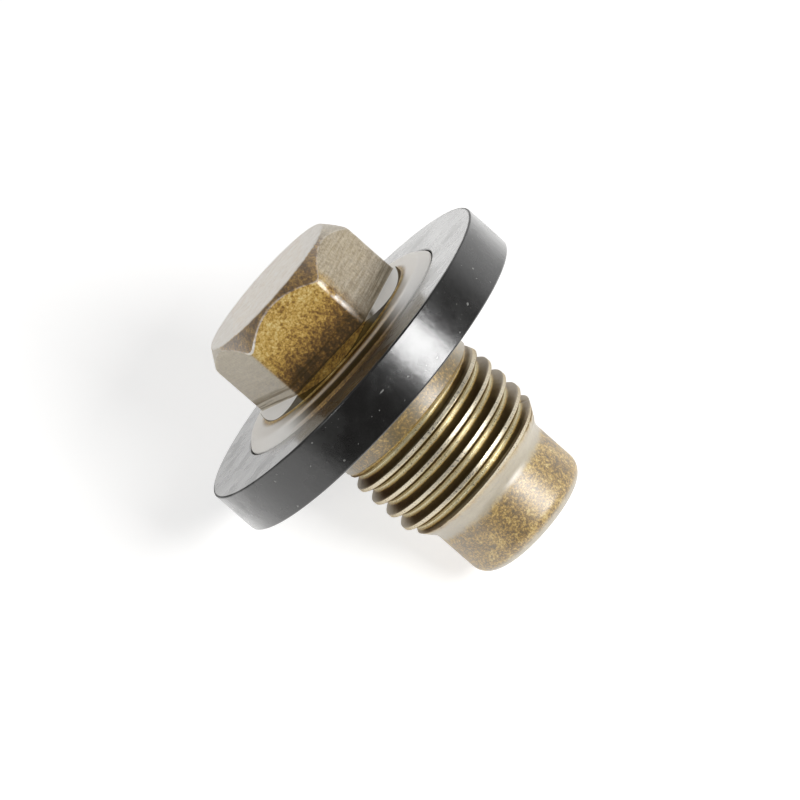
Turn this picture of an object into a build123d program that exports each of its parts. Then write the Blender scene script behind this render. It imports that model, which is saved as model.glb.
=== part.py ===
from build123d import *
import math
import os

# Oil drain plug standing on its head: +Z runs from the head's end face to the pilot point,
# and the origin is the centre of the end face. The steel body is headed, trimmed and
# thread-rolled from one blank. The rubber seal is pushed over the shank and holds the flange
# in its recess. Lengths are in millimetres and angles in degrees.

# Hexagon head
across_flats = 12.9
flats_length = 6.2
hexagon_corner_round = 0.5
end_face_radius = 6.2
end_face_edge = 0.12
chamfer_angle = 54.0

# Base of the hexagon, where trimming the flats left the round blank standing
collar_margin = 0.14
trim_height = 0.67
trim_slope = 63.0

# Flange
flange_top_radius = 9.25
flange_bevel_height = 0.67
flange_radius = 10.05
flange_straight = 1.15

# Shank, a little slimmer than the thread's crest
shank_relief = 0.275
shank_length = 5.45
underhead_chamfer = 0.3
shoulder_angle = 50.0

# Right-hand M14 x 1.5 thread
nominal_diameter = 14.0
crest_allowance = 0.15
thread_pitch = 1.5
thread_depth = 0.87
crest_width = 0.36
flank_angle = 60.0
first_crest_height = 0.85
run_in_length = 1.35
run_in_angle = 19.0
full_thread_length = 5.05
run_out_angle = 32.0

# Neck and pilot point, which is slimmer than the thread's root
neck_length = 0.9
pilot_relief = 0.415
pilot_length = 4.8
pilot_end_round = 1.45
pilot_end_facets = 4

# Rubber seal
seal_diameter = 28.8
seal_thickness = 3.85
seal_edge_chamfer = 0.15
seal_bore_clearance = 0.35
seal_bore_chamfer = 0.6
recess_clearance = 0.06

# Places along the axis
flange_top = flats_length + trim_height
seal_front = flange_top + flange_bevel_height
flange_underside = seal_front + flange_straight
seal_back = seal_front + seal_thickness
shank_end = flange_underside + shank_length
full_thread_start = shank_end + run_in_length
full_thread_end = full_thread_start + full_thread_length

# Radii and depths that follow
crest_radius = (nominal_diameter - crest_allowance) / 2
root_radius = crest_radius - thread_depth
shank_radius = crest_radius - shank_relief
pilot_radius = root_radius - pilot_relief
collar_radius = across_flats / 2 / math.cos(math.pi / 6) + collar_margin
thread_end = full_thread_end + thread_depth / math.tan(math.radians(run_out_angle))
pilot_start = thread_end + neck_length
plug_length = pilot_start + pilot_length

# How far a cutter or the ridge's foot passes the face that it works on
overlap = 0.04


# Bevels the corners of a turned section, each given as radius, height and leg of the bevel.
def bevel_corners(section, corners):
    for radius, height, leg in corners:
        corner = section.vertices().sort_by_distance((radius, height))[0]
        section = chamfer(corner, leg)
    return section


# Turns a section drawn as radius and height into a solid about the axis.
def turn(section):
    return revolve(Plane.XZ * section, axis=Axis.Z)


# The rounded rim of the pilot's end, as a few conical facets with their corners on an arc.
def pilot_end():
    inner = pilot_radius - pilot_end_round
    start = plug_length - pilot_end_round
    for step in range(pilot_end_facets + 1):
        turned = math.radians(90 * step / pilot_end_facets)
        yield inner + pilot_end_round * math.cos(turned), start + pilot_end_round * math.sin(turned)


# The whole body as a turned blank, before its flats and its thread.
def turned_blank():
    chamfer_depth = (collar_radius - end_face_radius) * math.tan(math.radians(chamfer_angle))
    shoulder_depth = (shank_radius - root_radius) / math.tan(math.radians(shoulder_angle))
    outline = Polyline(
        (0, plug_length),
        (0, 0),
        (end_face_radius, 0),
        (collar_radius, chamfer_depth),
        (collar_radius, flange_top),
        (flange_top_radius, flange_top),
        (flange_radius, seal_front),
        (flange_radius, flange_underside),
        (shank_radius, flange_underside),
        (shank_radius, shank_end),
        (root_radius, shank_end + shoulder_depth),
        (root_radius, thread_end),
    )
    outline += Spline(
        (root_radius, thread_end),
        (pilot_radius, pilot_start),
        tangents=[(-1, 0.75), (0, 1)],
    )
    outline += Polyline((pilot_radius, pilot_start), *pilot_end(), (0, plug_length))
    corners = [
        (end_face_radius, 0, end_face_edge),
        (shank_radius, flange_underside, underhead_chamfer),
    ]
    return turn(bevel_corners(make_face(outline), corners))


# A hexagon with rounded corners, one of them on +X.
def hexagon(half_width, height):
    outline = RegularPolygon(half_width, 6, major_radius=False)
    outline = fillet(outline.vertices(), hexagon_corner_round)
    return Plane.XY.offset(height) * outline


# What the trimming die takes off the blank: all that stands outside the flats, down to a
# slope at their foot that runs out through the collar.
def trimmings():
    half_width = across_flats / 2
    foot_width = half_width + trim_height * math.tan(math.radians(trim_slope))
    flats = extrude(hexagon(half_width, -overlap), flats_length + overlap)
    foot = loft([hexagon(half_width, flats_length), hexagon(foot_width, flange_top)])
    ring = Cylinder(
        collar_radius + flange_bevel_height,
        flange_top + overlap,
        align=(Align.CENTER, Align.CENTER, Align.MIN),
    )
    return Pos(0, 0, -overlap) * ring - flats - foot


# The rolled ridge. It rises out of the shank, stands at full height and fades to the neck.
def thread_ridge():
    foot_radius = root_radius - overlap
    half_crest = crest_width / 2
    half_foot = half_crest + (thread_depth + overlap) * math.tan(math.radians(flank_angle / 2))
    first_crest = shank_end + first_crest_height
    start = first_crest - thread_pitch
    path = Helix(thread_pitch, thread_end + thread_pitch - start, foot_radius)
    profile = Plane.XZ * make_face(
        Polyline(
            (foot_radius, -half_foot),
            (crest_radius, -half_crest),
            (crest_radius, half_crest),
            (foot_radius, half_foot),
            close=True,
        )
    )
    ridge = Pos(0, 0, start) * sweep(profile, path=path, is_frenet=True)
    rise = run_in_length * math.tan(math.radians(run_in_angle))
    fade = (crest_radius - foot_radius) / math.tan(math.radians(run_out_angle))
    envelope = Polyline(
        (0, shank_end),
        (crest_radius - rise, shank_end),
        (crest_radius + overlap / 10, full_thread_start),
        (crest_radius + overlap / 10, full_thread_end),
        (foot_radius, full_thread_end + fade),
        (0, full_thread_end + fade),
        close=True,
    )
    return ridge & turn(make_face(envelope))


def plug_body():
    return turned_blank() - trimmings() + thread_ridge()


# The seal's section: a recess for the flange in front, and a bore that clears the thread.
def sealing_gasket():
    outer = seal_diameter / 2
    bore = shank_radius + seal_bore_clearance
    recess = flange_radius + recess_clearance
    section = make_face(
        Polyline(
            (recess, seal_front),
            (outer, seal_front),
            (outer, seal_back),
            (bore, seal_back),
            (bore, flange_underside + seal_bore_chamfer),
            (bore + seal_bore_chamfer, flange_underside),
            (recess, flange_underside),
            close=True,
        )
    )
    corners = [
        (recess, seal_front, seal_edge_chamfer / 2),
        (outer, seal_front, seal_edge_chamfer),
        (outer, seal_back, seal_edge_chamfer),
    ]
    return turn(bevel_corners(section, corners))


os.makedirs("parts", exist_ok=True)
export_step(plug_body(), "parts/plug_body.step")
export_step(sealing_gasket(), "parts/sealing_gasket.step")
print("plug length", round(plug_length, 2), "seal", seal_front, "to", seal_back)
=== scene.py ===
import math
from types import SimpleNamespace
import bmesh
import bpy
from mathutils import Matrix, Vector


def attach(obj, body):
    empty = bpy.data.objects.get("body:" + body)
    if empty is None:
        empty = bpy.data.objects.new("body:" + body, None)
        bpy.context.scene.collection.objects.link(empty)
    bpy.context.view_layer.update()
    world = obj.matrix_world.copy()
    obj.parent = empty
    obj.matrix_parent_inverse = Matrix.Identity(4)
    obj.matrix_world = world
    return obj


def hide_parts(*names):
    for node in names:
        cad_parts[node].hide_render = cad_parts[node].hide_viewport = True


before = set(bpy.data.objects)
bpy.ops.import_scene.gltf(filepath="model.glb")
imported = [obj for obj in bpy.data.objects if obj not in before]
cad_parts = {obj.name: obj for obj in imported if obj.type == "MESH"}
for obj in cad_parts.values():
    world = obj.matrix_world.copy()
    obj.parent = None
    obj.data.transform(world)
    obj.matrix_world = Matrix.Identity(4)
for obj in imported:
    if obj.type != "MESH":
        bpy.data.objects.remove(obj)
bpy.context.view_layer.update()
millimetre = 0.001
columns = 240  # points round the axis
weldDistance = 0.0005  # in millimetres, like the next two
sliverLength = 0.0002
sameWithin = 0.001  # two heights or radii that differ by less count as one


# Small helpers for the mesh work, which is done in millimetres with +Z from head to pilot

def angleOf(point):
    return math.atan2(point.y, point.x)


def onCircle(radius, angle, height):
    return Vector((radius * math.cos(angle), radius * math.sin(angle), height))


def addRing(bm, ring, place):  # extrudes the last ring to the radius and height that place(angle) gives
    made = bmesh.ops.extrude_edge_only(bm, edges=ring)["geom"]
    points = set(item for item in made if isinstance(item, bmesh.types.BMVert))
    for point in points:
        angle = angleOf(point.co)
        radius, height = place(angle)
        point.co = onCircle(radius, angle, height)
    return [item for item in made if isinstance(item, bmesh.types.BMEdge) and set(item.verts) <= points]


def startRing(bm, radius, height, closed):  # the first ring of an empty mesh
    made = bmesh.ops.create_circle(bm, cap_ends=closed, segments=columns, radius=radius)["verts"]
    bmesh.ops.translate(bm, verts=made, vec=(0, 0, height))
    return bm.edges[:]


def finishPiece(bm, name, material, node):
    bmesh.ops.remove_doubles(bm, verts=bm.verts, dist=weldDistance)
    bmesh.ops.dissolve_degenerate(bm, edges=bm.edges, dist=sliverLength)
    bmesh.ops.recalc_face_normals(bm, faces=bm.faces)
    bmesh.ops.scale(bm, vec=(millimetre,) * 3, verts=bm.verts)
    mesh = bpy.data.meshes.new(name)
    bm.to_mesh(mesh)
    openEdges = sum(len(edge.link_faces) != 2 for edge in bm.edges)
    bm.free()
    mesh.polygons.foreach_set("use_smooth", [True] * len(mesh.polygons))
    mesh.materials.append(material)
    piece = bpy.data.objects.new(name, mesh)
    bpy.context.scene.collection.objects.link(piece)
    weighted = piece.modifiers.new("weighted normals", "WEIGHTED_NORMAL")
    weighted.mode = "FACE_AREA"
    weighted.weight = 50
    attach(piece, "root")
    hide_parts(node)
    print(name, "faces", len(mesh.polygons), "open edges", openEdges)
    return piece


# Steel body

body = {
    "acrossFlats": 12.9,
    "flatsLength": 6.2,
    "cornerRound": 0.75,
    "endFaceRadius": 6.2,
    "endFaceInset": 0.3,
    "chamferAngle": 54,
    "trimHeight": 0.67,
    "trimSlope": 63,
    "collarMargin": 0.14,
    "flangeTopRadius": 9.25,
    "flangeBevelHeight": 0.67,
    "flangeRadius": 10.05,
    "flangeStraight": 1.15,
    "rounds": [  # how far the rounding of each corner of the head's section reaches before and after it
        (0.16, 0.12),  # end face
        (0.17, 0.42),  # chamfer
        (0.09, 0.07),  # foot of the flat
        (0.06, 0.04),  # collar
        (0.12, 0.2),  # foot of the collar
        (0.35, 0.22),  # flange's top
        (0.2, 0.12),  # flange's bevel
        (0.1, 0.1),  # flange's underside
    ],
    "roundingSteps": 5,
    "roundingShare": 0.45,  # the most of an edge that the rounding at one end takes
    "crowding": 0.1,
    "crestRadius": 6.925,
    "shankRelief": 0.275,
    "shankLength": 5.45,
    "shoulderAngle": 50,
    "pitch": 1.5,
    "threadDepth": 0.87,
    "crestHalf": 0.18,
    "crestSoft": 0.09,
    "rootSoft": 0.3,
    "flankAngle": 60,
    "firstCrestHeight": 0.85,
    "turnsBelow": 3,  # turns spun below the first crest, which the envelope presses flat
    "runInLength": 1.35,
    "runInAngle": 19,
    "fullThreadLength": 5.05,
    "runOutAngle": 32,
    "sectionSteps": [0.02, 0.05, 0.08, 0.12, 0.16, 0.2, 0.24, 0.3, 0.4, 0.5, 0.6, 0.66, 0.7, 0.75],
    "nickAngle": 1,
    "nickHeight": 20.45,
    "nickSize": 0.2,
    "neckLength": 0.9,
    "neckSteps": [0.12, 0.25, 0.4, 0.55, 0.7, 0.85, 1],
    "neckBow": 1.2,
    "pilotRelief": 0.415,
    "pilotLength": 4.8,
    "pilotEndRound": 1.4,
    "pilotEndStep": 9,  # degrees between the rings of that round
}


def bodyLevels():  # heights and radii that follow from the body's sizes
    b = body
    rootRadius = b["crestRadius"] - b["threadDepth"]
    shankRadius = b["crestRadius"] - b["shankRelief"]
    flangeTop = b["flatsLength"] + b["trimHeight"]
    sealFront = flangeTop + b["flangeBevelHeight"]
    underside = sealFront + b["flangeStraight"]
    shankEnd = underside + b["shankLength"]
    threadStart = shankEnd + b["runInLength"]
    fullEnd = threadStart + b["fullThreadLength"]
    threadEnd = fullEnd + b["threadDepth"] / math.tan(math.radians(b["runOutAngle"]))
    pilotStart = threadEnd + b["neckLength"]
    return {
        "collarRadius": b["acrossFlats"] / 2 / math.cos(math.radians(30)) + b["collarMargin"],
        "rootRadius": rootRadius,
        "shankRadius": shankRadius,
        "pilotRadius": rootRadius - b["pilotRelief"],
        "flangeTop": flangeTop,
        "sealFront": sealFront,
        "underside": underside,
        "shankEnd": shankEnd,
        "threadStart": threadStart,
        "fullEnd": fullEnd,
        "threadEnd": threadEnd,
        "pilotStart": pilotStart,
        "length": pilotStart + b["pilotLength"],
    }


level = bodyLevels()


def fromFlat(angle):  # angle from the middle of the nearest flat, with a corner on +X and every 60 degrees
    return abs((angle % math.radians(60)) - math.radians(30))


def flatRadius(angle):  # how far out the hexagon stands, with its corners rounded
    half, soft = body["acrossFlats"] / 2, body["cornerRound"]
    away, corner = fromFlat(angle), math.radians(30)
    if half * math.tan(away) < (half - soft) * math.tan(corner):
        return half / math.cos(away)
    centre, off = (half - soft) / math.cos(corner), corner - away
    return centre * math.cos(off) + math.sqrt(soft ** 2 - (centre * math.sin(off)) ** 2)


def headCorners(angle):  # the corners of the head's section there, as radius and height
    flat, collar = flatRadius(angle), level["collarRadius"]
    rise = (flat - body["endFaceRadius"]) * math.tan(math.radians(body["chamferAngle"]))
    reach = collar * math.cos(fromFlat(angle)) - body["acrossFlats"] / 2
    foot = body["flatsLength"] + reach / math.tan(math.radians(body["trimSlope"]))
    return [
        (body["endFaceRadius"] - 1, 0),
        (body["endFaceRadius"], 0),
        (flat, rise),
        (flat, body["flatsLength"]),
        (collar, foot),
        (collar, level["flangeTop"]),
        (body["flangeTopRadius"], level["flangeTop"]),
        (body["flangeRadius"], level["sealFront"]),
        (body["flangeRadius"], level["underside"]),
        (level["shankRadius"], level["underside"]),
    ]


def headPoint(angle, corner, share):  # a point on the soft curve round one corner of the section
    before, here, after = (Vector(place) for place in headCorners(angle)[corner - 1:corner + 2])
    reachBefore, reachAfter = body["rounds"][corner - 1]
    start = here.lerp(before, min(reachBefore / (before - here).length, body["roundingShare"]))
    end = here.lerp(after, min(reachAfter / (after - here).length, body["roundingShare"]))
    return start.lerp(here, share).lerp(here.lerp(end, share), share)


def spread(angle):  # draws the columns together at the hexagon's corners
    return angle - body["crowding"] * math.sin(6 * angle)


def makeHead(bm):  # from the end face up to the flange's underside and along the shank
    ring = startRing(bm, body["endFaceRadius"] - body["endFaceInset"], 0, True)
    steps = body["roundingSteps"]
    for corner in range(1, len(body["rounds"]) + 1):
        for step in range(steps + 1):
            ring = addRing(bm, ring, lambda angle: headPoint(spread(angle), corner, step / steps))
    for point in bm.verts:
        radius = math.hypot(point.co.x, point.co.y)
        if point.co.z < level["flangeTop"] and radius < level["collarRadius"] + 0.01:
            point.co = onCircle(radius, spread(angleOf(point.co)), point.co.z)
    ring = addRing(bm, ring, lambda angle: (level["shankRadius"], level["underside"]))
    addRing(bm, ring, lambda angle: (level["shankRadius"], level["shankEnd"]))


def softLess(first, second, soft):  # the smaller of two, with a rounded corner where they cross
    share = max(0, soft - abs(first - second)) / soft
    return min(first, second) - share * share * soft / 4


def ridgeRadius(offset):  # the thread's section, offset along the axis from the middle of a crest
    slope = math.tan(math.radians(body["flankAngle"] / 2))
    flank = body["crestRadius"] - (abs(offset) - body["crestHalf"]) / slope
    top = softLess(flank, body["crestRadius"], body["crestSoft"])
    return -softLess(-top, -level["rootRadius"], body["rootSoft"])


def fall(radius, run, slope):  # the radius after a run along the axis down a slope of that angle
    return radius - run * math.tan(math.radians(slope))


def threadRadius(angle, height):  # how far out the thread stands, with its run-in, run-out and nick
    crest = level["shankEnd"] + body["firstCrestHeight"] + body["pitch"] * angle / (2 * math.pi)
    offset = (height - crest + body["pitch"] / 2) % body["pitch"] - body["pitch"] / 2
    runIn = fall(body["crestRadius"], level["threadStart"] - height, body["runInAngle"])
    runOut = fall(body["crestRadius"], height - level["fullEnd"], body["runOutAngle"])
    shoulder = fall(level["shankRadius"], height - level["shankEnd"], body["shoulderAngle"])
    ridge = min(ridgeRadius(offset), runIn, runOut)
    along = (angle - math.radians(body["nickAngle"])) * body["crestRadius"]
    nick = math.exp(-(along ** 2 + (height - body["nickHeight"]) ** 2) / body["nickSize"] ** 2)
    return max(ridge - nick * body["nickSize"], shoulder, level["rootRadius"])


def makeThread(bm):  # one pitch of the section, spun up the helix and then pressed to its envelope
    pitch, half = body["pitch"], body["sectionSteps"]
    steps = [-step for step in reversed(half)] + half
    bottom = level["shankEnd"] + body["firstCrestHeight"] - body["turnsBelow"] * pitch
    turns = math.ceil((level["threadEnd"] - bottom) / pitch) + 1
    points = [bm.verts.new((level["rootRadius"], 0, bottom + step)) for step in steps]
    line = [bm.edges.new(pair) for pair in zip(points, points[1:])]
    bmesh.ops.spin(bm, geom=points + line, cent=(0, 0, 0), axis=(0, 0, 1), dvec=(0, 0, pitch / columns),
                   angle=math.tau, steps=columns, use_merge=False, use_duplicate=False)
    turn = bm.verts[:] + bm.edges[:] + bm.faces[:]
    for _ in range(1, turns):
        turn = bmesh.ops.duplicate(bm, geom=turn)["geom"]
        lifted = [item for item in turn if isinstance(item, bmesh.types.BMVert)]
        bmesh.ops.translate(bm, verts=lifted, vec=(0, 0, pitch))
    for point in bm.verts:
        height = min(max(point.co.z, level["shankEnd"]), level["threadEnd"])
        angle = angleOf(point.co)
        point.co = onCircle(threadRadius(angle, height), angle, height)
    bmesh.ops.remove_doubles(bm, verts=bm.verts, dist=weldDistance)


def makePilot(bm):  # from the thread's end to the end face
    ring = startRing(bm, level["rootRadius"], level["threadEnd"], False)
    growth = level["pilotRadius"] - level["rootRadius"]
    for share in body["neckSteps"]:
        radius = level["rootRadius"] + growth * math.sin(share * math.pi / 2)
        height = level["threadEnd"] + body["neckLength"] * (share ** body["neckBow"])
        ring = addRing(bm, ring, lambda angle: (radius, height))
    inner = level["pilotRadius"] - body["pilotEndRound"]
    corner = level["length"] - body["pilotEndRound"]
    for turned in range(0, 91, body["pilotEndStep"]):
        radius = inner + body["pilotEndRound"] * math.cos(math.radians(turned))
        height = corner + body["pilotEndRound"] * math.sin(math.radians(turned))
        ring = addRing(bm, ring, lambda angle: (radius, height))
    bmesh.ops.contextual_create(bm, geom=ring)


def joinInto(bm, other):
    mesh = bpy.data.meshes.new("joined")
    other.to_mesh(mesh)
    bm.from_mesh(mesh)
    other.free()
    bpy.data.meshes.remove(mesh)


def makeBody(material):
    bm = bmesh.new()
    makeHead(bm)
    for make in (makeThread, makePilot):
        part = bmesh.new()
        make(part)
        joinInto(bm, part)
    return finishPiece(bm, "plugBody", material, "plug_body")


# Rubber seal

seal = {
    "diameter": 28.8,
    "thickness": 3.85,
    "edgeRound": 0.16,
    "recessClearance": 0.1,
    "boreClearance": 0.35,
    "boreChamfer": 0.6,
}


def makeSeal(material):
    outer = seal["diameter"] / 2
    recess = body["flangeRadius"] + seal["recessClearance"]
    bore = level["shankRadius"] + seal["boreClearance"]
    front = level["sealFront"]
    back = front + seal["thickness"]
    section = [
        (recess, front),
        (outer, front),
        (outer, back),
        (bore, back),
        (bore, level["underside"] + seal["boreChamfer"]),
        (bore + seal["boreChamfer"], level["underside"]),
        (recess, level["underside"]),
    ]
    bm = bmesh.new()
    points = [bm.verts.new((radius, 0, height)) for radius, height in section]
    line = [bm.edges.new((points[k], points[k - 1])) for k in range(len(points))]
    bmesh.ops.spin(bm, geom=points + line, cent=(0, 0, 0), axis=(0, 0, 1), dvec=(0, 0, 0), angle=math.tau,
                   steps=columns, use_merge=True, use_duplicate=False)
    bmesh.ops.remove_doubles(bm, verts=bm.verts, dist=weldDistance)
    rims = [edge for edge in bm.edges if isRim(edge, outer) or isRim(edge, recess, front)]
    bmesh.ops.bevel(bm, geom=rims, offset=seal["edgeRound"], offset_type="OFFSET", affect="EDGES",
                    segments=4, profile=0.5, material=-1, clamp_overlap=True)
    return finishPiece(bm, "sealingGasket", material, "sealing_gasket")


def isRim(edge, radius, height=None):  # a ring edge at that radius, and at that height if one is given
    a, b = (point.co for point in edge.verts)
    flat = abs(a.z - b.z) < sameWithin and (height is None or abs(a.z - height) < sameWithin)
    return flat and all(abs(math.hypot(p.x, p.y) - radius) < sameWithin for p in (a, b))


# Camera, where the photograph was taken from

camera = {
    "distance": 263.919,
    "right": -4.506,
    "down": -3.6818,
    "lean": 11.37,
    "turn": 41.27,
    "spin": 7.46,
    "lens": 157.5,
    "sensor": 36,
}


def cameraAxes():  # the picture's right, down and away directions
    lean, turn, spin = (math.radians(camera[name]) for name in ("lean", "turn", "spin"))
    screw = Vector((math.cos(lean) * math.cos(turn), math.cos(lean) * math.sin(turn), math.sin(lean)))
    side = Vector((math.sin(turn), -math.cos(turn), 0))
    rows = Matrix((side * math.cos(spin) + screw.cross(side) * math.sin(spin),
                   screw.cross(side * math.cos(spin) + screw.cross(side) * math.sin(spin)), screw))
    return [rows.col[k].copy() for k in range(3)]


right, down, away = cameraAxes()
sealCentre = Vector((0, 0, level["sealFront"]))


def fromView(x, y, z):  # a direction given as it lies in the picture, to the right, down and away
    return (right * x + down * y + away * z).normalized()


def makeCamera():
    data = bpy.data.cameras.new("camera")
    data.lens = camera["lens"]
    data.sensor_width = camera["sensor"]
    data.clip_start = 0.01
    data.clip_end = 10
    eye = bpy.data.objects.new("camera", data)
    bpy.context.scene.collection.objects.link(eye)
    place = sealCentre - right * camera["right"] - down * camera["down"] - away * camera["distance"]
    turned = Matrix((right, -down, -away)).transposed().to_4x4()
    eye.matrix_world = Matrix.Translation(place * millimetre) @ turned
    bpy.context.scene.camera = eye


makeCamera()
print("camera placed")


# Shader helpers

class Wire:  # a socket of a shader, so that maths on it reads as maths
    def __init__(self, shader, socket):
        self.shader = shader
        self.socket = socket

    def out(self, name):  # another output of the same node
        return Wire(self.shader, self.socket.node.outputs[name])

    def __add__(self, other):
        return self.shader.math("ADD", self, other)

    def __sub__(self, other):
        return self.shader.math("SUBTRACT", self, other)

    def __rsub__(self, other):
        return self.shader.math("SUBTRACT", other, self)

    def __mul__(self, other):
        return self.shader.math("MULTIPLY", self, other)

    __radd__ = __add__
    __rmul__ = __mul__


class Shader:
    def __init__(self, owner):
        owner.use_nodes = True
        self.tree = owner.node_tree
        self.tree.nodes.clear()

    def node(self, kind, settings=None, sockets=None):
        made = self.tree.nodes.new(kind)
        for name, value in (settings or {}).items():
            setattr(made, name, value)
        for name, value in (sockets or {}).items():
            if isinstance(value, Wire):
                self.tree.links.new(value.socket, made.inputs[name])
            else:
                made.inputs[name].default_value = value
        return Wire(self, made.outputs[0]) if made.outputs else None

    def math(self, operation, *values):
        return self.node("ShaderNodeMath", {"operation": operation}, dict(enumerate(values)))

    def clamp(self, value):
        return self.node("ShaderNodeClamp", None, {0: value})

    def most(self, *values):  # the largest of some masks
        found = values[0]
        for value in values[1:]:
            found = self.math("MAXIMUM", found, value)
        return found

    def strongest(self, zones, amounts):  # the largest of the named zones, each times its amount
        return self.most(*(zones[name] * amount for name, amount in amounts.items()))

    def total(self, zones, amounts):
        return sum(zones[name] * amount for name, amount in amounts.items())

    def step(self, value, low, high):  # 0 below low, 1 above high and smooth between
        return self.node("ShaderNodeMapRange", {"interpolation_type": "SMOOTHSTEP"},
                         {"Value": value, "From Min": low, "From Max": high})

    def below(self, value, low, high):
        return 1 - self.step(value, low, high)

    def band(self, value, low, high, soft):  # 1 between low and high
        return self.step(value, low - soft, low + soft) * self.below(value, high - soft, high + soft)

    def near(self, value, middle, reach):  # 1 at the middle, 0 a reach away from it
        return self.below(self.math("ABSOLUTE", value - middle), 0, reach)

    def mix(self, factor, first, second):
        return self.node("ShaderNodeMix", {"data_type": "RGBA"}, {0: factor, 6: first, 7: second}).out(2)

    def noise(self, place, size, detail=2, rough=0.55):  # cloudy pattern whose spots are about that size
        return self.node("ShaderNodeTexNoise", {"noise_dimensions": "3D"},
                         {"Vector": place, "Scale": 1 / size, "Detail": detail, "Roughness": rough})

    def stretch(self, place, along):  # scales a place by three numbers
        return self.node("ShaderNodeMapping", {"vector_type": "POINT"}, {"Vector": place, "Scale": along})

    def place(self):  # object coordinates in millimetres
        found = self.node("ShaderNodeTexCoord").out("Object")
        return self.stretch(found, (1 / millimetre,) * 3)

    def axial(self, place):  # a place's x, y, z and distance from the axis
        parts = self.node("ShaderNodeSeparateXYZ", None, {0: place})
        x, y, z = (parts.out(k) for k in range(3))
        return x, y, z, self.math("SQRT", x * x + y * y)

    def bump(self, height, strength, distance):
        sockets = {"Height": height, "Strength": strength, "Distance": distance}
        return self.node("ShaderNodeBump", None, sockets)


# Zinc plate with a yellow chromate: a speckled dark to golden ground under a neutral sheen

zinc = {
    "dark": (0.050, 0.027, 0.005, 1),
    "brown": (0.225, 0.112, 0.024, 1),
    "gold": (0.63, 0.39, 0.083, 1),
    "light": (0.85, 0.70, 0.32, 1),
    "olive": (0.48, 0.39, 0.12, 1),
    "pale": (0.50, 0.46, 0.37, 1),
    "shade": (0.23, 0.175, 0.085, 1),
    "sheen": (0.58, 0.53, 0.41, 1),
    # bare metal, also used for painted highlights and painted reflections
    "bareAndHighlight": (0.92, 0.91, 0.88, 1),
    "copper": (0.42, 0.27, 0.13, 1),
    # colour of dirt and of painted shade
    "dirtAndShade": (0.055, 0.038, 0.011, 1),
    "rose": (0.76, 0.71, 0.58, 1),
    # colour of the painted reflection on the flank past each crest
    "strawReflection": (0.83, 0.80, 0.60, 1),
    "specularTint": (0.42, 0.30, 0.14, 1),
    "grain": 0.21,
    "patch": 0.8,
    "cloud": 3.2,
    "toolLineStretch": (0.1, 0.1, 4.2),
    "fibreStretch": (0.5, 0.5, 5),
    "highlightLevels": (0.36, 0.52),  # how strong a pattern has to be before a mark shows
    "toolLineLevels": (0.48, 0.56),
    "smudgeLevels": (0.42, 0.6),
    "raggedness": 0.8,
    "tone": 0.68,
    "grainContrast": 1.9,
    "patchContrast": 0.5,
    "cloudContrast": 0.5,
    # tones of the painted sheen and painted shade on the flats at the sides
    "sideSheenTone": 0.72,
    "sideSheenGrainContrast": 2.4,
    "sideSheenFibreContrast": 1.8,
    "roughness": 0.44,
    "roughnessContrast": 0.8,
    "coat": 0.15,
    "coatRoughness": 0.46,
    "ior": 1.8,
    "coatIor": 3.0,
    "relief": 0.6,
    "reliefDepth": 0.00006,
}

zoneLimits = {  # in millimetres, and a pair says from where to where a zone comes or goes
    "endFace": (0.02, 0.12),
    "endFaceRaggedness": 0.3,
    "chamfer": (0.02, 0.14),
    "frontFlat": (3.62, 3.85),  # from the middle of the flats, where the flats at the sides with their painted sheen begin
    "frontFlatBlur": 0.6,
    "chamferWidening": 1.6,
    # heights over which the painted shade at the foot of the flats comes in
    "footShade": (1.5, 7),
    "cornerMiddle": 3.5,
    "cornerReach": 0.8,
    "arcMiddle": -3.3,  # the stretch of the front flat's arc where the painted highlight is strongest
    "arcReach": 1.4,
    "arcStart": 0.03,
    "arcWidth": 0.07,
    "arcWidening": 0.09,
    # where the painted highlight runs down the corner
    "cornerHighlight": (7.27, 7.33),
    "cornerHighlightFade": (4, 6),
    # heights where the tool marks come in
    "toolMarksAndShade": (4.7, 5.6),
    "smudge": (4.8, 5.7),
    "smudgeSide": (2.6, 3.8),
    "cornerShadow": (5, 6.2),
    "cornerShadowMiddle": 3.9,
    "trimShadow": (4.3, 4.8),
    "flange": (7.7, 8.2),
    # the flange's near side, where painted shade lies
    "nearShade": (2.5, 6.5),
    "nearShadeShift": 1.2,
    "innerTopShade": (8.2, 9.0),
    "topEdge": 9.2,
    "topEdgeReach": 0.42,
    "bevel": (9.45, 9.85),
    "lowerEdge": 9.95,
    "lowerEdgeReach": 0.14,
    "helixStart": 0.12,  # how far before a crest the count along the thread's section begins
    "helixRaggedness": 0.22,
    "crestEnd": (0.14, 0.2),
    "seam": (0.2, 0.46),
    "trailReflection": (0.5, 0.88),
    "groove": (0.9, 0.98),
    "ends": (5.3, 6.8),  # where the grooves turn out of sight, and where painted sheen pales the thread and shank
    "thread": (0.2, 0.85),  # past the shank's end, and past the end of the full thread
    "neck": (0.9, 0.25),  # past the end of the full thread, and past the start of the pilot point
    "pilot": 0.6,
    "pilotTip": (0.9, 0.4),  # short of the plug's end
}

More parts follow.
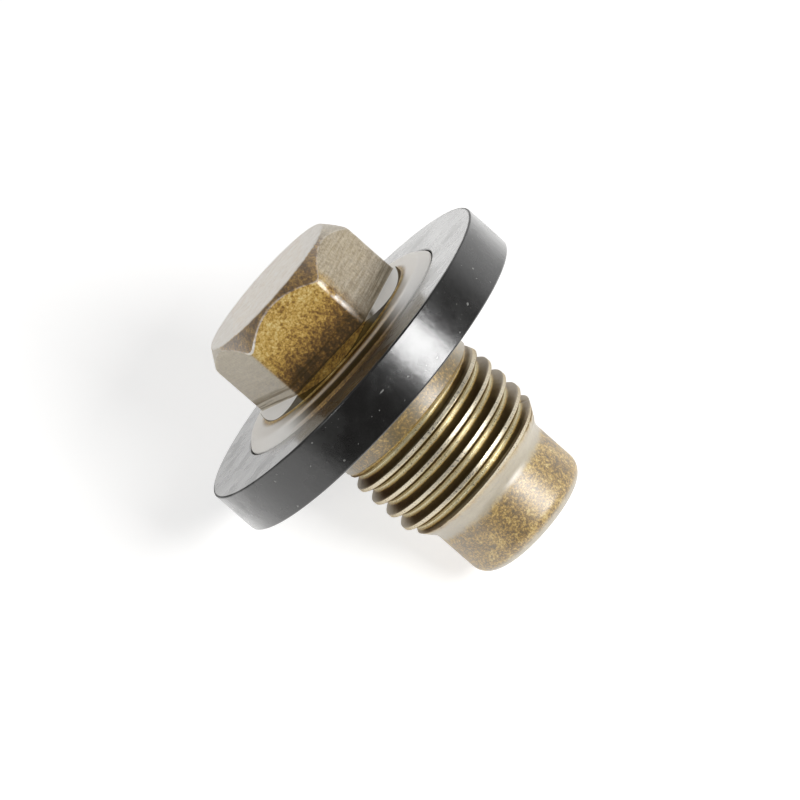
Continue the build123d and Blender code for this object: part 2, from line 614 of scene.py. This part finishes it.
shares = {  # what each zone gets of a finish
    "darker": {  # how far each zone darkens the chromate; foot and shadedRightSide darken it as painted shade
        "foot": 0.72,
        "corners": -0.12,
        "rightCorners": 0.15,
        "shadedRightSide": 0.2,
        "chamfer": 0.32,
        "slopes": 0.22,
        "bevel": 0.4,
        "flange": 0.2,
        "shank": 0.46,
        "pilot": 0.23,
    },
    "paler": {  # how far each zone is paled: the chromate gone, and painted sheen at the thread's and shank's ends and painted reflection on the flange's far ends
        "threadEndSheen": 0.6,
        "shankEndSheen": 0.8,
        "neck": 0.85,
        "pilotTip": 0.7,
        "topEdge": 0.5,
        "reflectingFlange": 0.6,
    },
    "bareAndHighlight": {  # how far each zone is made bare metal: rubbed down at the end face and the flange's top edge, painted highlight along the edges, and painted reflection on the side slopes and the flange's far ends
        "mottledEnd": 1,
        "reflectingFlange": 1,
        "topEdge": 0.4,
        "sheenSlopes": 1,
        "edgeHighlight": 1,
    },
    # dirt and painted shade: seams and a darker near-side bevel, the flank before each crest partly painted
    # shade, painted shade at the collar, the flange's near inner top and the right corner's foot
    "grimeAndShade": {
        "darkGroove": 1,
        "seam": 0.95,
        "collar": 0.95,
        "innerTopShade": 0.8,
        "nearBevel": 0.8,
        "toolMarksAndShade": 0.6,
    },
    "metal": {
        "crest": 0.75,
        "trailReflection": 0.8,
        "endFace": 0.4,
        "edgeHighlight": 1,
        "dirtAndShade": 1,
        "sheenSlopes": 0.15,
        "flangeGlint": 1,
    },
    "olive": {
        "pilot": 0.12,
        "shank": 0.2,
    },
    "cover": {  # how well each layer covers what is under it
        "side": 0.8,
        "lowerEdge": 0.7,
        "ridges": 0.85,
        "dirtAndShade": 0.95,
    },
    "coat": {
        "side": 0.5,
        "endFace": 1,
        "chamfer": 0.7,
        "reflectingFlange": 0.6,
        "rightReflectingFlange": 1.1,
        "shank": 0.45,
        "neck": 0.7,
        "pilot": 0.52,
        "pilotTip": 0.8,
    },
}


def zincPatterns(s):  # where a point lies, in millimetres, and the patterns of the finish there
    place = s.place()
    x, y, z, radius = s.axial(place)
    patch = s.noise(place, zinc["patch"], 2, 0.6)
    return SimpleNamespace(
        x=x, y=y, z=z, radius=radius, patch=patch,
        fromMiddle=s.math("ABSOLUTE", x),
        rightHalf=s.step(x, -1, 1),
        grain=s.noise(place, zinc["grain"], 3, 0.85),
        cloud=s.noise(place, zinc["cloud"], 2),
        toolLines=s.noise(s.stretch(place, zinc["toolLineStretch"]), 1, 2, 0.65),
        fibres=s.noise(s.stretch(place, zinc["fibreStretch"]), 1, 2, 0.7),
        ragged=(patch - 0.5) * zinc["raggedness"],
    )


def headZones(s, at):  # masks of the hexagon and of the slopes at its foot
    belowFlange = s.below(at.z, level["flangeTop"] - 0.1, level["flangeTop"] - 0.06)
    head = s.below(at.z, body["flatsLength"] - 0.02, body["flatsLength"] + 0.03)
    endFace = s.below(at.z + (at.grain - 0.5) * zoneLimits["endFaceRaggedness"], *zoneLimits["endFace"])
    cone = (at.radius - body["endFaceRadius"]) * math.tan(math.radians(body["chamferAngle"]))
    pastCone = at.z - cone
    chamfer = s.below(pastCone, *zoneLimits["chamfer"]) * (1 - endFace) * head
    outward = at.fromMiddle + at.ragged * at.rightHalf - chamfer * zoneLimits["chamferWidening"]
    edge, full = zoneLimits["frontFlat"]
    side = belowFlange * s.step(outward, edge, full + at.rightHalf * zoneLimits["frontFlatBlur"])
    flats = head * (1 - chamfer) * (1 - endFace)
    slopes = (1 - head) * belowFlange
    corners = flats * s.near(at.fromMiddle, zoneLimits["cornerMiddle"], zoneLimits["cornerReach"])
    rim = s.step(at.radius, level["collarRadius"] - 0.06, level["collarRadius"] - 0.02)
    trimShadow = side * s.below(at.fromMiddle + at.ragged * 0.3, *zoneLimits["trimShadow"]) * at.rightHalf
    return {
        "endFace": endFace,
        "mottledEnd": endFace * (0.8 + (at.patch - 0.5) * 0.8 + (at.grain - 0.5) * 1.2),
        "chamfer": chamfer,
        "side": side,
        # painted shade: the flats at the sides darker on the right half
        "shadedRightSide": side * at.rightHalf,
        # painted shade: the flats darker towards their foot by the flange
        "foot": flats * s.step(at.z, *zoneLimits["footShade"]),
        "corners": corners,
        "rightCorners": corners * at.rightHalf,
        # painted highlight along the chamfer's arcs and down the right corner
        "edgeHighlight": edgeHighlight(s, at, pastCone) * head,
        "toolMarksAndShade": toolMarksAndShade(s, at) * flats,
        "slopes": slopes,
        # painted reflection: the slopes below the flats at the sides pale and bare
        "sheenSlopes": side * slopes,
        # painted shade at the foot of the collar: round its rim, and the painted shadow by the right corner
        "collar": slopes * s.most(rim, trimShadow),
    }


def edgeHighlight(s, at, pastCone):  # painted highlights: the bright lines along the chamfer's arcs and down the corners on the right half
    brightStretch = s.near(at.x, zoneLimits["arcMiddle"], zoneLimits["arcReach"])
    arcEnd = zoneLimits["arcStart"] + zoneLimits["arcWidth"] + brightStretch * zoneLimits["arcWidening"]
    arcLine = s.band(pastCone, zoneLimits["arcStart"], arcEnd, 0.02) * (brightStretch * 0.6 + 0.3)
    cornerHighlight = s.step(at.radius, *zoneLimits["cornerHighlight"]) * s.below(at.z, *zoneLimits["cornerHighlightFade"])
    return s.most(arcLine, cornerHighlight * at.rightHalf * 0.5) * s.step(at.patch, *zinc["highlightLevels"])


def toolMarksAndShade(s, at):  # lines that the trimming die left near the foot of the flats, darker smudges beside them, and painted shadow at the foot of the corner on the right
    stripes = s.step(at.z, *zoneLimits["toolMarksAndShade"]) * s.step(at.toolLines, *zinc["toolLineLevels"])
    smudge = s.step(at.x, *zoneLimits["smudgeSide"]) * s.step(at.z, *zoneLimits["smudge"])
    smudge = smudge * (0.45 + s.step(at.toolLines, *zinc["smudgeLevels"]) * 0.55)
    shadow = s.near(at.x, zoneLimits["cornerShadowMiddle"], zoneLimits["cornerReach"])
    return s.most(stripes, smudge, shadow * s.step(at.z, *zoneLimits["cornerShadow"]))


def flangeZones(s, at):
    flange = s.band(at.z, level["flangeTop"] - 0.02, level["underside"], 0.02)
    flange = flange * s.step(at.radius, *zoneLimits["flange"])
    # painted shade: the flange's near side darker, where the head shades it
    nearShade = s.below(at.fromMiddle - at.rightHalf * zoneLimits["nearShadeShift"], *zoneLimits["nearShade"])
    bevel = flange * s.band(at.radius, *zoneLimits["bevel"], 0.06)
    # painted reflection: the rest of the flange pale and bare, where it mirrors the bright floor
    reflecting = flange * (1 - nearShade)
    return {
        "flange": flange,
        "flangeGlint": flange * (nearShade * 0.4 + 0.3),
        "reflectingFlange": reflecting,
        "rightReflectingFlange": reflecting * at.rightHalf,
        # painted shade on the flange's inner top, on its near side by the collar
        "innerTopShade": flange * nearShade * s.below(at.radius + at.ragged, *zoneLimits["innerTopShade"]),
        "topEdge": flange * s.near(at.radius, zoneLimits["topEdge"], zoneLimits["topEdgeReach"]),
        "bevel": bevel,
        "nearBevel": bevel * nearShade,
        "lowerEdge": flange * s.near(at.radius, zoneLimits["lowerEdge"], zoneLimits["lowerEdgeReach"]),
    }


def threadZones(s, at):  # masks of the shank, of the thread's crests and grooves, and of the pilot point
    climb = s.math("ARCTAN2", at.y, at.x) * (body["pitch"] / math.tau)
    helix = at.z - climb - level["shankEnd"] - body["firstCrestHeight"]
    pastCrest = s.math("WRAP", helix, body["pitch"] - zoneLimits["helixStart"], -zoneLimits["helixStart"])
    pastCrest = pastCrest + (at.grain - 0.5) * zoneLimits["helixRaggedness"]
    low, high = zoneLimits["thread"]
    thread = s.band(at.z + at.ragged * 0.4, level["shankEnd"] + low, level["fullEnd"] + high, 0.15)
    low, high = zoneLimits["neck"]
    neck = s.band(at.z + at.ragged * 0.8, level["fullEnd"] + low, level["pilotStart"] + high, 0.4)
    low, high = (level["length"] - short for short in zoneLimits["pilotTip"])
    pilotTip = s.step(at.z + at.ragged * 0.3, low, high)
    groove = thread * s.step(pastCrest, *zoneLimits["groove"])
    ends = s.step(at.fromMiddle + at.ragged * 0.4, *zoneLimits["ends"])
    shank = s.band(at.z, level["underside"], level["shankEnd"] + 0.1, 0.02)
    return {
        # painted sheen: the thread and shank paler where they turn out of sight
        "threadEndSheen": thread * ends,
        "crest": thread * s.below(pastCrest, *zoneLimits["crestEnd"]),
        "seam": thread * s.band(pastCrest, *zoneLimits["seam"], 0.04),
        # painted reflection: the flank past each crest coloured as if lit by the bright surroundings
        "trailReflection": thread * s.band(pastCrest, *zoneLimits["trailReflection"], 0.04),
        # the flank that faces the seal dark: partly dirt, partly painted shade
        "darkGroove": groove * (1 - ends * 0.5),
        "grooveHaze": groove * (ends * 0.5 + 0.12),
        "shank": shank,
        "shankEndSheen": shank * ends,
        "neck": neck,
        "pilot": s.step(at.z, level["pilotStart"], level["pilotStart"] + zoneLimits["pilot"]),
        "pilotTip": pilotTip,
    }


def chromateColour(s, at, zone):  # four tones from dark to light, as thick as the chromate is, darkened by soil and by painted shade
    side = zone["side"]
    speckle = (at.grain - 0.5) * zinc["grainContrast"] + (at.patch - 0.5) * zinc["patchContrast"]
    speckle = speckle * (1 + s.most(zone["pilot"], zone["shank"]) * 0.6)
    speckle = speckle + (at.cloud - 0.5) * zinc["cloudContrast"]
    soilAndShade = s.total(zone, shares["darker"])
    tone = (zinc["tone"] - soilAndShade * (1 - side * 0.6) + speckle * (1 - side * 0.35)) * 3
    colour = s.mix(s.clamp(tone), zinc["dark"], zinc["brown"])
    colour = s.mix(s.clamp(tone - 1), colour, zinc["gold"])
    colour = s.mix(s.clamp(tone - 2), colour, zinc["light"])
    return s.mix(s.total(zone, shares["olive"]), colour, zinc["olive"])


def sideSheenColour(s, at, zone):  # painted sheen on the flats at the sides, paler on their slopes and darker on the right half as painted shade, with fine lines along the flats
    lines = (at.fibres - 0.5) * zinc["sideSheenFibreContrast"] + (at.grain - 0.5) * zinc["sideSheenGrainContrast"]
    lines = lines * (0.6 + at.rightHalf * 0.4)
    tone = zinc["sideSheenTone"] - at.rightHalf * 0.33 + zone["slopes"] * 0.5 + lines
    return s.mix(s.clamp(tone), zinc["shade"], zinc["sheen"])


def zincPlate():
    material = bpy.data.materials.new("zincPlate")
    s = Shader(material)
    at = zincPatterns(s)
    zone = {**headZones(s, at), **flangeZones(s, at), **threadZones(s, at)}
    zone["dirtAndShade"] = s.strongest(zone, shares["grimeAndShade"])
    dirtAndShade, ridges = zone["dirtAndShade"], s.most(zone["crest"], zone["trailReflection"])
    cover = shares["cover"]

    colour = s.mix(s.strongest(zone, shares["paler"]), chromateColour(s, at, zone), zinc["pale"])
    # painted sheen and painted shade on the flats at the sides
    colour = s.mix(zone["side"] * cover["side"], colour, sideSheenColour(s, at, zone))
    colour = s.mix(zone["lowerEdge"] * cover["lowerEdge"], colour, zinc["copper"])
    colour = s.mix(s.clamp(s.strongest(zone, shares["bareAndHighlight"])), colour, zinc["bareAndHighlight"])
    # bare crests, and the flank past them coloured as a painted reflection
    ridgeColour = s.mix(zone["trailReflection"], zinc["rose"], zinc["strawReflection"])
    colour = s.mix(ridges * cover["ridges"], colour, ridgeColour)
    # dirt and painted shade
    colour = s.mix(dirtAndShade * cover["dirtAndShade"], colour, zinc["dirtAndShade"])

    coat = (zinc["coat"] + s.strongest(zone, shares["coat"])) * (1 - dirtAndShade) + zone["grooveHaze"]
    uneven = (at.grain - 0.5) * zinc["roughnessContrast"]
    roughness = zinc["roughness"] + uneven + dirtAndShade * 0.1 - ridges * 0.1
    relief = (at.grain + at.patch * 0.5) * (1 - zone["side"] * 0.6) + zone["toolMarksAndShade"] * 0.4
    shader = s.node("ShaderNodeBsdfPrincipled", None, {
        "Base Color": colour,
        "Metallic": s.clamp(s.strongest(zone, shares["metal"])),
        "Roughness": s.clamp(roughness),
        "IOR": zinc["ior"],
        "Specular Tint": zinc["specularTint"],
        "Coat Weight": s.clamp(coat),
        "Coat Roughness": zinc["coatRoughness"],
        "Coat IOR": zinc["coatIor"],
        "Normal": s.bump(relief, zinc["relief"], zinc["reliefDepth"]),
    })
    s.node("ShaderNodeOutputMaterial", None, {"Surface": shader})
    return material


# Black rubber, moulded, glossy and a little dusty

rubber = {
    "black": (0.010, 0.0095, 0.009, 1),
    "bloom": (0.026, 0.026, 0.025, 1),
    # colour of the painted sheen on the front face
    "paintedSheen": (0.50, 0.50, 0.49, 1),
    "dust": (0.45, 0.45, 0.43, 1),
    "cloud": 2.6,
    "fine": 0.5,
    "speck": 0.36,
    "speckLevels": (0.81, 0.85),  # how strong a pattern has to be before it shows
    "dustGrain": 0.14,
    "dustLevels": (0.80, 0.84),
    "dustyCloud": (0.5, 0.6),
    "bloomCloud": (0.35, 0.8),
    "dullCloud": (0.4, 0.7),
    # where the painted sheen lies on the front face
    "paintedSheenSide": (3, 8),
    "paintedSheenRaggedness": 6,
    "paintedSheenHeight": 0.05,
    "flashHeight": 0.13,
    "flashWidth": (0.2, 0.1),
    "roughness": 0.26,
    "ior": 1.52,
    "coat": 1.1,
    "coatRoughness": 0.24,
    "relief": 0.3,
    "reliefDepth": 0.0002,
}


def blackRubber():
    material = bpy.data.materials.new("blackRubber")
    s = Shader(material)
    place = s.place()
    x, y, z, radius = s.axial(place)
    cloud = s.noise(place, rubber["cloud"], 3, 0.55)
    fine = s.noise(place, rubber["fine"], 3, 0.65)
    specks = s.step(s.noise(place, rubber["speck"], 0), *rubber["speckLevels"])
    dusty = s.step(s.noise(place, rubber["dustGrain"], 0), *rubber["dustLevels"])
    dusty = dusty * s.step(cloud, *rubber["dustyCloud"])
    # painted sheen: a pale film on the right of the seal's front face that stands in for its grazing
    # reflection
    paintedSheen = s.step(x + (cloud - 0.5) * rubber["paintedSheenRaggedness"], *rubber["paintedSheenSide"])
    paintedSheen = paintedSheen * s.near(z, level["sealFront"], rubber["paintedSheenHeight"])
    rim = seal["diameter"] / 2
    fromRim, toRim = (rim - width for width in rubber["flashWidth"])  # the matt edge where the mould parted
    flash = s.near(z, level["sealFront"], rubber["flashHeight"]) * s.step(radius, fromRim, toRim)
    bloom = s.step(cloud + (fine - 0.5) * 0.3, *rubber["bloomCloud"])
    dull = s.step(cloud + (fine - 0.5) * 0.4, *rubber["dullCloud"])
    colour = s.mix(bloom, rubber["black"], rubber["bloom"])
    colour = s.mix(paintedSheen * (0.4 + fine * 0.6), colour, rubber["paintedSheen"])
    colour = s.mix(s.most(specks * 0.5, dusty * 0.4), colour, rubber["dust"])
    gloss = rubber["coat"] - dull * 0.3 - specks * 0.5 - flash
    shader = s.node("ShaderNodeBsdfPrincipled", None, {
        "Base Color": colour,
        "Roughness": s.clamp(rubber["roughness"] + (cloud - 0.5) * 0.4 + flash * 0.6),
        "IOR": rubber["ior"],
        "Coat Weight": s.clamp(gloss),
        "Coat Roughness": rubber["coatRoughness"],
        "Coat IOR": rubber["ior"],
        "Normal": s.bump(cloud + fine * 0.2, rubber["relief"], rubber["reliefDepth"]),
    })
    s.node("ShaderNodeOutputMaterial", None, {"Surface": shader})
    return material


# Stage: the floor that the plug lies on, by its seal and its point, a light tent and two softboxes

stage = {
    "restAzimuth": 50.4,
    "floorRadius": 400,
    "floorGap": 0.02,
    "floorGlow": 0.68,
    "floorShare": 0.66,
    "floorColour": (0.96, 0.95, 0.93, 1),
    "tentDim": 0.05,
    "tentBright": 1.0,
    "tentFrom": -0.3,
    "tentTo": 0.25,
    "boxDistance": 250,
}

softboxes = {
    "softbox": {"place": (0.62, -0.15, -0.77), "size": 105, "power": 0.45},
    "sideSoftbox": {"place": (-0.5, 0.22, -0.84), "size": 50, "power": 0.09},
}


def floorNormal():
    reach = level["length"] - body["pilotEndRound"] * 0.5 - level["sealFront"] - seal["thickness"]
    lean = math.atan2(seal["diameter"] / 2 - level["pilotRadius"], reach)
    turn = math.radians(stage["restAzimuth"])
    return Vector((math.cos(lean) * math.cos(turn), math.cos(lean) * math.sin(turn), -math.sin(lean))), turn


def paper():  # seen as white, and lit by the plug's surroundings where it lights the plug
    material = bpy.data.materials.new("paper")
    s = Shader(material)
    ray = s.node("ShaderNodeLightPath")
    seen = s.most(ray.out("Is Camera Ray"), ray.out("Is Glossy Ray"), ray.out("Is Transmission Ray"))
    lit = s.node("ShaderNodeBsdfDiffuse", None, {"Color": stage["floorColour"]})
    dimColour = tuple(part * stage["floorShare"] for part in stage["floorColour"][:3]) + (1,)
    dimmed = s.node("ShaderNodeBsdfDiffuse", None, {"Color": dimColour})
    glow = s.node("ShaderNodeEmission", None, {"Strength": stage["floorGlow"]})
    white = s.node("ShaderNodeAddShader", None, {0: dimmed, 1: glow})
    face = s.node("ShaderNodeMixShader", None, {0: seen, 1: lit, 2: white})
    behind = s.node("ShaderNodeNewGeometry").out("Backfacing")
    clear = s.node("ShaderNodeBsdfTransparent")
    surface = s.node("ShaderNodeMixShader", None, {0: behind, 1: face, 2: clear})
    s.node("ShaderNodeOutputMaterial", None, {"Surface": surface})
    return material


def makeFloor():
    normal, turn = floorNormal()
    rim = onCircle(-seal["diameter"] / 2, turn, level["sealFront"] + seal["thickness"])
    bm = bmesh.new()
    bmesh.ops.create_circle(bm, cap_ends=True, segments=96, radius=stage["floorRadius"] * millimetre)
    turned = normal.to_track_quat("Z", "Y").to_matrix().to_4x4()
    place = Matrix.Translation((rim - normal * stage["floorGap"]) * millimetre)
    bmesh.ops.transform(bm, matrix=place @ turned, verts=bm.verts)
    mesh = bpy.data.meshes.new("floor")
    bm.to_mesh(mesh)
    bm.free()
    floor = bpy.data.objects.new("floor", mesh)
    bpy.context.scene.collection.objects.link(floor)
    mesh.materials.append(paper())


def makeTent():  # white to the eye, and dimmer on the camera's side for the light that the plug gets
    world = bpy.data.worlds.new("tent")
    bpy.context.scene.world = world
    s = Shader(world)
    toward = s.node("ShaderNodeVectorMath", {"operation": "DOT_PRODUCT"},
                    {0: s.node("ShaderNodeTexCoord").out("Generated"), 1: tuple(away)}).out("Value")
    lit = s.step(toward, stage["tentFrom"], stage["tentTo"]) * (stage["tentBright"] - stage["tentDim"])
    strength = s.most(s.node("ShaderNodeLightPath").out("Is Camera Ray"), lit + stage["tentDim"])
    background = s.node("ShaderNodeBackground", None, {"Color": (1, 1, 1, 1), "Strength": strength})
    s.node("ShaderNodeOutputWorld", None, {"Surface": background})


def makeSoftboxes():
    for name, box in softboxes.items():
        data = bpy.data.lights.new(name, "AREA")
        data.energy = box["power"]
        data.size = box["size"] * millimetre
        lamp = bpy.data.objects.new(name, data)
        bpy.context.scene.collection.objects.link(lamp)
        toward = fromView(*box["place"])
        lamp.location = (sealCentre + toward * stage["boxDistance"]) * millimetre
        lamp.rotation_mode = "QUATERNION"
        lamp.rotation_quaternion = toward.to_track_quat("Z", "Y")
        lamp.visible_camera = False


makeBody(zincPlate())
makeSeal(blackRubber())
print("plug made")
makeFloor()
makeTent()
makeSoftboxes()
print("stage lit")

bpy.context.scene.view_settings.view_transform = "Standard"
